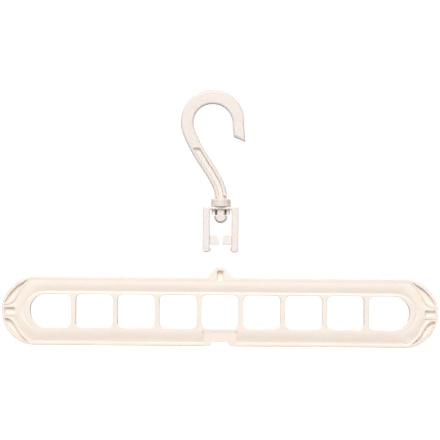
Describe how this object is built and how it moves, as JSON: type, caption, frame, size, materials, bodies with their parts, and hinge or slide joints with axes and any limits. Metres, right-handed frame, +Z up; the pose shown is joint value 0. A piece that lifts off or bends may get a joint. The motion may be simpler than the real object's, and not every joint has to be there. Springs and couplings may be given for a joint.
{
  "type": "multi-hole clothes hanger",
  "caption": "Long moulded clothes hanger bar with a row of round-cornered windows, and a swivel hook on a push-fit clip shown lifted off the bar.",
  "frame": {"origin": "centre of the bar's footprint, on the bottom edge that the bar stands on", "axes": "+X along the bar, to the right as seen from its front; -Y out of the bar's crowned front; +Z up, along the hook's swivel axis"},
  "size_m": [0.375, 0.017, 0.2205],
  "materials": {
    "bar_plastic": "satin moulded polypropylene",
    "hook_plastic": "satin moulded polypropylene",
    "clip_plastic": "satin moulded polypropylene"
  },
  "bodies": {
    "bar": {"hanger_bar": "bar_plastic"},
    "clip": {"snap_clip": "clip_plastic"},
    "hook": {"swivel_hook": "hook_plastic"}
  },
  "joints": [
    {"name": "clip_lift", "type": "slide", "parent": "bar", "child": "clip", "axis": [0, 0, 1], "range_m": [-0.014, 0.02]},
    {"name": "hook_swivel", "type": "hinge", "parent": "clip", "child": "hook", "pos_m": [0, 0, 0.1186], "axis": [0, 0, 1], "continuous": true}
  ]
}
